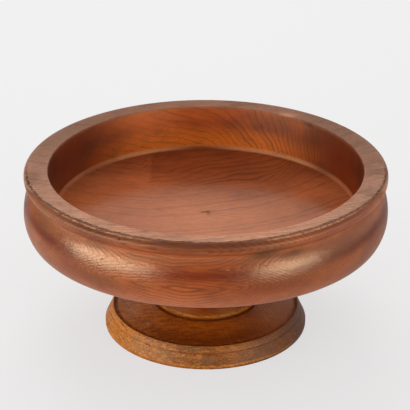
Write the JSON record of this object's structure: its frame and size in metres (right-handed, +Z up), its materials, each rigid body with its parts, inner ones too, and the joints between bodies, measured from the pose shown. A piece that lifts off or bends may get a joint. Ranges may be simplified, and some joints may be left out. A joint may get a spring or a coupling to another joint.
{
  "type": "footed bowl",
  "caption": "Shallow turned wooden bowl with a level rim and grooved lip, raised on a waisted stem and a broad round foot; holds fruit or nuts.",
  "frame": {"origin": "middle of the foot's flat base, on the surface the bowl stands on", "axes": "+Z up along the turning axis; the front that the picture shows faces -Y; +X is the viewer's right, along the grain of the bowl"},
  "size_m": [0.3, 0.3, 0.143],
  "materials": {
    "bowl_wood": "red-brown wood under a thin satin varnish, the level rim worn matt",
    "stem_wood": "warm brown wood under a thin satin varnish",
    "foot_wood": "yellow-brown wood with dark streaks under a thin satin varnish"
  },
  "bodies": {
    "root": {"bowl": "bowl_wood", "stem": "stem_wood", "foot": "foot_wood"}
  },
  "joints": []
}
